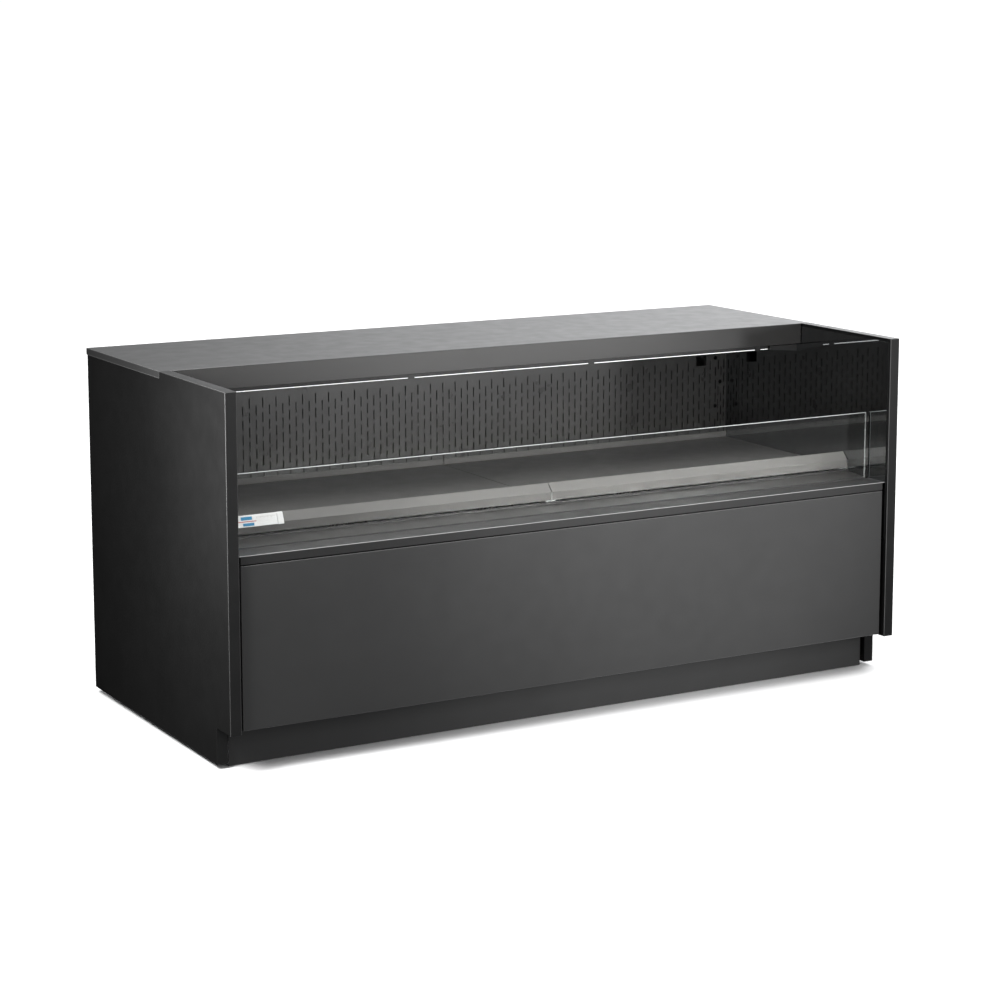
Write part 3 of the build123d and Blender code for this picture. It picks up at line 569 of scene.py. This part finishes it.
def make_light_strip():
    """A low opal lens under a black housing with two lips, in place of the plain diffuser."""
    low, high = node_box("light_diffuser")
    middle = low.z + 0.0026
    inset, lip = 0.0012, 0.0010
    lens = bmesh.new()
    add_box(lens, (low.x, low.y + inset, low.z), (high.x, high.y - inset, middle + 0.0004), 0.0011, 3)
    finish("light_lens", lens, "white_diffuser", stands_for=["light_diffuser"])
    housing = bmesh.new()
    add_box(housing, (low.x, low.y, middle), high, 0.0006)
    for y in (low.y, high.y - lip):
        add_box(housing, (low.x, y, middle - 0.0009), (high.x, y + lip, middle + 0.0006), 0.0003)
    finish("light_housing", housing, "black_plastic")


# A cell's corners about its middle, in half widths across and half reaches up
HEXAGON = ((1, 1), (0, 2), (-1, 1), (-1, -1), (0, -2), (1, -1))


def make_discharge_grille():
    """A honeycomb in a thin frame, which straightens the cold air curtain."""
    low, high = node_box("discharge_grille")
    reach, rim, half_wall, sunk = 0.0058, 0.003, 0.00018, 0.0006
    step_x, step_y = reach * 3 ** 0.5 / 2, reach / 2
    across, deep = high.x - low.x - 2 * rim, high.y - low.y - 2 * rim
    walls = set()
    for row in range(int((deep + 0.001 - 2 * reach) / (3 * step_y)) + 1):
        for column in range(int((across / step_x - row % 2) / 2)):
            ring = [(1 + row % 2 + 2 * column + i, 2 + 3 * row + j) for i, j in HEXAGON]
            walls.update((min(pair), max(pair)) for pair in zip(ring, ring[1:] + ring[:1]))
    comb = bmesh.new()
    for wall in sorted(walls):
        one, two = (Vector((low.x + rim + i * step_x, low.y + rim + j * step_y, 0)) for i, j in wall)
        aside = Vector((one.y - two.y, two.x - one.x, 0)).normalized() * half_wall
        quad = (one + aside, two + aside, two - aside, one - aside)
        bottom = [comb.verts.new((point.x, point.y, low.z + sunk)) for point in quad]
        top = [comb.verts.new((point.x, point.y, high.z - sunk)) for point in quad]
        join_rings(comb, bottom, top)
        comb.faces.new(bottom)
        comb.faces.new(top)
    for y in (low.y, high.y - rim):
        add_box(comb, (low.x, y, low.z), (high.x, y + rim, high.z), 0.0006)
    for x in (low.x, high.x - rim):
        add_box(comb, (x, low.y + rim, low.z), (x + rim, high.y - rim, high.z), 0.0006)
    finish("honeycomb_grille", comb, "black_plastic", stands_for=["discharge_grille"])


def add_blade(bm, root, tip, half, start):
    """A twisted, swept blade from the root radius to the tip's: two cambered sheets joined at their rims."""
    stations, across = 9, 8
    sheets = []
    for side in (1, -1):
        sheet = []
        for i in range(stations):
            t = i / (stations - 1)
            r = root + (tip - root) * t
            chord = tip * (0.50 + 0.34 * t - 0.16 * t ** 6)
            pitch = radians(40 - 16 * t)
            sweep = start + 0.34 * t ** 1.5
            row = []
            for j in range(across):
                u = j / (across - 1) - 0.5
                angle = sweep + u * chord * cos(pitch) / r
                camber = tip * 0.045 * (1 - 4 * u * u)
                thick = tip * 0.016 * (1 - (2 * u) ** 4) * (1 - 0.4 * t) + tip * 0.003
                z = u * chord * sin(pitch) + camber + side * thick
                z = max(-half * 1.05, min(half * 1.05, z))
                row.append(bm.verts.new((r * cos(angle), r * sin(angle), z)))
            sheet.append(row)
        sheets.append(sheet)
        for one, two in zip(sheet, sheet[1:]):
            join_rows(bm, one, two)
    upper, lower = sheets
    for end in (0, -1):
        join_rows(bm, upper[end], lower[end])
        join_rows(bm, [row[end] for row in upper], [row[end] for row in lower])


def add_fan(bm, radius, hub, depth, blades=5):
    """A fan about Z: a rounded hub with a bore, and twisted blades that widen towards their tips."""
    half = depth / 2
    bore = 0.0032
    profile = [
        (bore, -half), (hub, -half), (hub, half * 0.55), (hub * 0.93, half * 0.85), (hub * 0.75, half),
        (hub * 0.4, half), (hub * 0.34, half * 0.8), (bore, half * 0.8)]
    add_lathe(bm, profile, 40, closed=True)
    for blade in range(blades):
        add_blade(bm, hub * 0.97, radius, half, 2 * pi * blade / blades)


def add_guard(bm, radius, height, rings, spokes, foot):
    """A wire guard about Z: concentric rings on radial spokes whose ends turn down to the plate."""
    for i in range(rings):
        add_tube(bm, circle(radius * (0.42 + 0.58 * i / (rings - 1)), height), 0.0009, 6, closed=True)
    over = height + 0.0016
    line = ((0.40, over), (0.98, over), (1.03, height - 0.001), (1.03, foot))
    for k in range(spokes):
        angle = 2 * pi * (k + 0.5) / spokes
        points = [(radius * r * cos(angle), radius * r * sin(angle), z) for r, z in line]
        add_tube(bm, points, 0.0012, 6)


# A rotor's tip radius, hub radius and depth, and its guard's radius, height, rings, spokes and foot
EVAPORATOR_FAN = ((0.0540, 0.020, 0.018), (0.060, 0.0145, 5, 4, 0.0008))
CONDENSER_FAN = ((0.0785, 0.026, 0.022), (0.084, -0.0185, 6, 6, -0.001))


def make_fans():
    """A bladed rotor on each fan's body, and a wire guard on the case."""
    for joint in frame["joints"]:
        name = joint["child"]
        if not name.endswith("_fan"):
            continue
        sizes, turn = (CONDENSER_FAN, TO_BACK) if name == "condenser_fan" else (EVAPORATOR_FAN, TO_FRONT)
        place = Matrix.Translation(Vector(joint["pos_m"])) @ turn
        rotor = bmesh.new()
        add_fan(rotor, *sizes[0])
        placed(rotor, 0, place)
        finish(name + "_rotor", rotor, "fan_plastic", name, [name])
        guard = bmesh.new()
        add_guard(guard, *sizes[1])
        placed(guard, 0, place)
        finish(name + "_guard", guard, "zinc_steel")


# Half the distance between the two tubes that a return bend joins
TUBE_GAP = 0.012


def add_return(bm, x, y, z, side, radius):
    """A half-round tube that joins two tube ends, one above the other."""
    inside = x - side * 0.004
    angles = [pi * k / 12 - pi / 2 for k in range(13)]
    points = [(inside, y, z - TUBE_GAP)]
    points += [(x + side * TUBE_GAP * cos(a), y, z + TUBE_GAP * sin(a)) for a in angles]
    points += [(inside, y, z + TUBE_GAP)]
    add_tube(bm, points, radius, 12)


def make_coil(name, low, high, pitch, rows_y, pairs_z, bends, radius):
    """Real fins and end plates on a bank of tubes; bends is the room for the return bends at each end."""
    x0, x1 = low.x + bends, high.x - bends
    inset, half_fin, plate = 0.003, 0.00012, 0.0015
    fins = bmesh.new()
    count = int((x1 - x0 - 0.004) / pitch)
    for i in range(count):
        x = x0 + inset + i * (x1 - x0 - 2 * inset) / (count - 1)
        add_box(fins, (x - half_fin, low.y, low.z), (x + half_fin, high.y, high.z))
    for x in (x0, x1 - plate):
        add_box(fins, (x, low.y, low.z), (x + plate, high.y, high.z), 0.0004)
    tubes = bmesh.new()
    for y in rows_y:
        for z in pairs_z:
            for height in (z - TUBE_GAP, z + TUBE_GAP):
                add_tube(tubes, [(x0, y, height), (x1, y, height)], radius, 12)
            add_return(tubes, x1, y, z, 1, radius)
            add_return(tubes, x0, y, z, -1, radius)
    finish(name + "_fins", fins, "fin_aluminium", stands_for=[name])
    finish(name + "_tubes", tubes, "copper")


def make_coils():
    """The evaporator on three rows of tubes, and the condenser on two rows in a sheet frame."""
    low, high = node_box("evaporator_coil")
    rows = (low.y + 0.030, (low.y + high.y) / 2, high.y - 0.030)
    make_coil("evaporator_coil", low, high, 0.0042, rows, (low.z + 0.032, high.z - 0.032), 0.016, 0.0046)

    outer_low, outer_high = node_box("condenser_coil")
    wall, bends, tube_rows, pairs = 0.004, 0.0165, 0.011, 4
    low, high = outer_low + Vector((0, wall, 0.0065)), outer_high - Vector((0, wall, 0))
    heights = [low.z + 0.022 + k * (high.z - low.z - 0.044) / (pairs - 1) for k in range(pairs)]
    rows = (low.y + tube_rows, high.y - tube_rows)
    make_coil("condenser_coil", low, high, 0.0030, rows, heights, bends, 0.0040)
    sheet = bmesh.new()
    add_box(sheet, outer_low, (outer_high.x, outer_high.y, outer_low.z + 0.0062), 0.001)
    for x in (low.x + bends, high.x - bends):
        for y0, y1 in ((outer_low.y, low.y), (high.y, outer_high.y)):
            add_box(sheet, (x - 0.001, y0, outer_low.z), (x + 0.001, y1, high.z), 0.0004)
    finish("condenser_frame", sheet, "galvanised")


def add_compressor_shell(bm, base, top, radius):
    """A two-part shell about Z: dished ends, and a weld bead where the halves meet."""
    quarter = [(sin(angle), cos(angle)) for angle in (pi / 2 * k / 8 for k in range(1, 9))]
    lower, upper = radius * 0.97, radius * 0.985
    seam = base + (top - base) * 0.46
    profile = [(0, base)] + [(lower * s, base + 0.034 * (1 - c)) for s, c in quarter]
    profile += [
        (lower, seam - 0.004), (upper, seam - 0.002), (upper, seam),
        (radius, seam + 0.0015), (radius, seam + 0.012), (upper, seam + 0.014)]
    profile += [(upper * s, top - 0.040 * (1 - c)) for s, c in reversed(quarter)] + [(0, top)]
    add_lathe(bm, profile, 64)


def make_compressor():
    """The shell on a foot plate, a terminal cover under a wire clip, and the bolts through the foot plate."""
    low, high = node_box("compressor")
    plate, reach, front = 0.003, 0.088, low.y
    centre = Vector(((low.x + high.x) / 2, high.y - reach, 0))
    across, up = Vector((reach, reach, 0)), Vector((0, 0, 1))
    shell = bmesh.new()
    add_compressor_shell(shell, low.z + plate, high.z, 0.075)
    placed(shell, 0, Matrix.Translation(centre))
    add_box(shell, centre - across + up * low.z, centre + across + up * (low.z + plate), 0.0012)
    rib = Vector((0.010, 0.050, 0))
    for side in (-1, 1):
        middle = centre + Vector((side * 0.060, 0, low.z))
        add_box(shell, middle - rib + up * 0.002, middle + rib + up * 0.026, 0.004)
    finish("compressor_shell", shell, "compressor_paint", stands_for=["compressor"])

    cover = bmesh.new()
    for half, depth, z0, z1, bevel, segments in (
            (0.022, 0.030, 0.170, 0.220, 0.003, 3), (0.012, 0.004, 0.182, 0.208, 0.001, 2)):
        add_box(cover, (centre.x - half, front, z0), (centre.x + half, front + depth, z1), bevel, segments)
    finish("compressor_terminal_cover", cover, "black_plastic")

    clip = bmesh.new()
    half, near, far = 0.0235, front + 0.0005, front + 0.027
    span = ((-half, far), (-half, near), (half, near), (half, far))
    add_tube(clip, [(centre.x + x, y, 0.1985) for x, y in span], 0.0010, 8)
    finish("compressor_cover_clip", clip, "zinc_steel")

    bolts = bmesh.new()
    head = [
        (0, 0), (0.009, 0), (0.009, 0.0015), (0.0075, 0.0018), (0.0075, 0.006), (0.0065, 0.007), (0, 0.007)]
    for i in (-1, 1):
        for j in (-1, 1):
            start = len(bolts.verts)
            add_lathe(bolts, head, 6)
            at = centre + Vector((i * 0.074, j * 0.074, low.z + plate))
            placed(bolts, start, Matrix.Translation(at))
    finish("compressor_bolts", bolts, "zinc_steel")


def make_grommets():
    """Ribbed rubber mounts under the compressor's foot plate."""
    low, high = node_box("compressor_grommets")
    mounts = bmesh.new()
    tall, widest, neck = high.z - low.z, 0.011, 0.0082
    outline = (
        (0, 0), (widest, 0), (widest, 0.2), (neck, 0.28), (neck, 0.42), (0.0108, 0.5), (neck, 0.58),
        (neck, 0.72), (0.0105, 0.8), (0.0105, 1), (0, 1))
    profile = [(radius, tall * height) for radius, height in outline]
    for x in (low.x + widest, high.x - widest):
        for y in (low.y + widest, high.y - widest):
            start = len(mounts.verts)
            add_lathe(mounts, profile, 28)
            placed(mounts, start, Matrix.Translation((x, y, low.z)))
    finish("compressor_mounts", mounts, "rubber", stands_for=["compressor_grommets"])


def make_feet():
    """Levelling feet: a dished pad, a threaded stem, and a lock nut under the rail."""
    low, high = node_box("levelling_feet")
    feet = bmesh.new()
    widest, crest, top = 0.025, 0.0060, high.z
    pad = [
        (0, 0), (0.024, 0), (widest, 0.001), (widest, 0.005), (0.023, 0.0075), (0.010, 0.0085),
        (0.0085, 0.011), (0.0062, 0.011)]
    thread = []
    z = 0.0115
    while z < top - 0.0085:
        thread += [(0.0051, z), (crest, z + 0.0006)]
        z += 0.00125
    stem = [(crest, z), (crest, top), (0, top)]
    nut = [
        (0.0062, top - 0.008), (0.0100, top - 0.008), (0.0105, top - 0.0072), (0.0105, top - 0.0008),
        (0.0100, top - 0.0001), (0.0062, top - 0.0001)]
    for x in (low.x + widest, 0.0, high.x - widest):
        for y in (low.y + widest, high.y - widest):
            start = len(feet.verts)
            add_lathe(feet, pad + thread + stem, 28)
            add_lathe(feet, nut, 6, closed=True)
            placed(feet, start, Matrix.Translation((x, y, 0)))
    finish("threaded_feet", feet, "zinc_steel", stands_for=["levelling_feet"])


REAR_ROWS_Z = (0.770, 0.312, 0.287, 0.101)
REAR_SCREWS_PER_ROW = 6
REAR_PITCH = 0.332


def make_rear_screws():
    """Cross-recessed screws through the back, each turned its own way."""
    face = node_box("rear_screws")[0].y
    screws = bmesh.new()
    for row, z in enumerate(REAR_ROWS_Z):
        for i in range(REAR_SCREWS_PER_ROW):
            x = (i - (REAR_SCREWS_PER_ROW - 1) / 2) * REAR_PITCH
            turn = Matrix.Rotation(radians((i * 37 + row * 53) % 90), 4, "Z")
            add_screw(screws, Matrix.Translation((x, face, z)) @ TO_BACK @ turn)
    finish("cross_head_screws", screws, "black_screw", stands_for=["rear_screws"])


def make_electrical_cover():
    """The electrical box's cover, with a raised middle and a screw at each corner."""
    low, high = node_box("electrical_box")
    front = low.y - 0.0012
    cover = bmesh.new()
    add_box(cover, (low.x - 0.001, front, low.z + 0.002), (high.x + 0.001, low.y, high.z + 0.001), 0.0006)
    border = Vector((0.016, 0, 0.018))
    raised_low, raised_high = low + border, high - border
    raised_low.y, raised_high.y = front - 0.001, low.y - 0.001
    add_box(cover, raised_low, raised_high, 0.0010)
    finish("electrical_cover", cover, "motor_paint")
    heads = bmesh.new()
    for x in (low.x + 0.009, high.x - 0.009):
        for z in (low.z + 0.010, high.z - 0.009):
            turn = Matrix.Rotation(x * 40 + z * 30, 4, "Z")
            add_screw(heads, Matrix.Translation((x, front, z)) @ TO_FRONT @ turn, 0.0038, 0.0020)
    finish("electrical_screws", heads, "zinc_steel")


def make_pieces():
    make_thermometer()
    make_glass()
    make_glass_beads()
    make_light_strip()
    make_discharge_grille()
    make_fans()
    make_coils()
    make_compressor()
    make_grommets()
    make_feet()
    make_rear_screws()
    make_electrical_cover()


# Floor, light and camera

FLOOR_HALF = 40


def make_floor():
    """A wide pale floor that only the camera sees, so that the dark coat stays dark."""
    mesh = bpy.data.meshes.new("floor")
    corners = [(-1, -1), (1, -1), (1, 1), (-1, 1)]
    mesh.from_pydata([(x * FLOOR_HALF, y * FLOOR_HALF, -0.0005) for x, y in corners], [], [(0, 1, 2, 3)])
    floor = bpy.data.objects.new("floor", mesh)
    bpy.context.collection.objects.link(floor)
    mesh.materials.append(coated("floor", grey(0.80), grey(0.83), (0.75, 0.85), 120.0, 0.02, 0.6))
    floor.visible_glossy = False
    floor.visible_diffuse = False
    floor.visible_transmission = False


def make_world():
    """White to the camera. The light comes from a room: grey in front, and bright at the back right."""
    world = bpy.data.worlds.new("studio")
    world.use_nodes = True
    tree = world.node_tree
    where = tree.nodes.new("ShaderNodeTexCoord")
    split = tree.nodes.new("ShaderNodeSeparateXYZ")
    tree.links.new(where.outputs["Generated"], split.inputs["Vector"])

    def slope(source, start, end, low, high):
        """low before start, high after end, and even between them."""
        node = tree.nodes.new("ShaderNodeMapRange")
        for name, value in (("From Min", start), ("From Max", end), ("To Min", low), ("To Max", high)):
            node.inputs[name].default_value = value
        tree.links.new(source, node.inputs["Value"])
        return node.outputs["Result"]

    def mix(factor, first, second):
        """Between two numbers or outputs."""
        node = tree.nodes.new("ShaderNodeMix")
        tree.links.new(factor, node.inputs["Factor"])
        for socket, value in ((node.inputs["A"], first), (node.inputs["B"], second)):
            if isinstance(value, float):
                socket.default_value = value
            else:
                tree.links.new(value, socket)
        return node.outputs["Result"]

    rays = tree.nodes.new("ShaderNodeLightPath")
    behind = slope(split.outputs["Y"], -0.2, 0.3, 0.0, 1.0)
    back = slope(split.outputs["X"], 0.30, 0.66, 0.0, ROOM_BACK_RIGHT)
    room = mix(behind, ROOM_FRONT, back)
    seen = mix(rays.outputs["Is Camera Ray"], room, 1.05)
    tree.links.new(seen, tree.nodes["Background"].inputs["Strength"])
    tree.nodes["Background"].inputs["Color"].default_value = (0.975, 0.985, 1, 1)
    bpy.context.scene.world = world


def aim(light, at, towards):
    """Puts the light in the scene, turned towards a point and hidden from the camera."""
    light.location = at
    light.rotation_euler = (Vector(towards) - Vector(at)).to_track_quat("-Z", "Y").to_euler()
    light.visible_camera = False
    bpy.context.collection.objects.link(light)


def area_light(name, at, towards, size, radiance):
    """A soft box of a given size and brightness."""
    data = bpy.data.lights.new(name, "AREA")
    data.shape = "RECTANGLE"
    data.size, data.size_y = size
    data.energy = radiance * pi * size[0] * size[1]
    aim(bpy.data.objects.new(name, data), at, towards)


def pool_light(name, at, towards, cone, power):
    """A lamp with a soft-edged pool of light."""
    data = bpy.data.lights.new(name, "SPOT")
    data.energy = power
    data.spot_size = radians(cone)
    data.spot_blend = 1.0
    data.shadow_soft_size = 0.22
    aim(bpy.data.objects.new(name, data), at, towards)


def make_light():
    """Soft light from above, fill for the front and the left end, and two pools on the front panel."""
    sun = bpy.data.lights.new("overhead", "SUN")
    sun.energy = 4.6
    sun.angle = radians(70)
    bpy.context.collection.objects.link(bpy.data.objects.new("overhead", sun))
    area_light("low_front", (0.5, -1.9, 0.9), (0.5, -0.3, 0.4), (1.0, 0.6), 6.3)
    area_light("left_high", (-1.6, -0.55, 1.0), (-0.9, -0.35, 0.75), (0.4, 0.4), 23.0)
    area_light("left_low", (-1.35, -0.45, 0.75), (-0.9, -0.40, 0.55), (0.3, 0.5), 18.0)
    panel = (0.30, -0.4, 0.50)
    pool_light("right_pool", (2.2, -3.2, 0.9), panel, 34, 127.0)
    pool_light("front_pool", (0.6, -3.4, 1.0), panel, 30, 259.0)


def make_camera():
    data = bpy.data.cameras.new("camera")
    data.lens = CAMERA_LENS
    data.sensor_width = 36
    data.shift_y = CAMERA_SHIFT_Y
    data.clip_end = 200
    camera = bpy.data.objects.new("camera", data)
    camera.location = CAMERA_AT
    camera.rotation_euler = (radians(90 - CAMERA_PITCH), 0, radians(-CAMERA_YAW))
    bpy.context.collection.objects.link(camera)
    bpy.context.scene.camera = camera


paint_nodes()
make_pieces()
make_floor()
make_world()
make_light()
make_camera()
bpy.context.scene.view_settings.view_transform = "Standard"
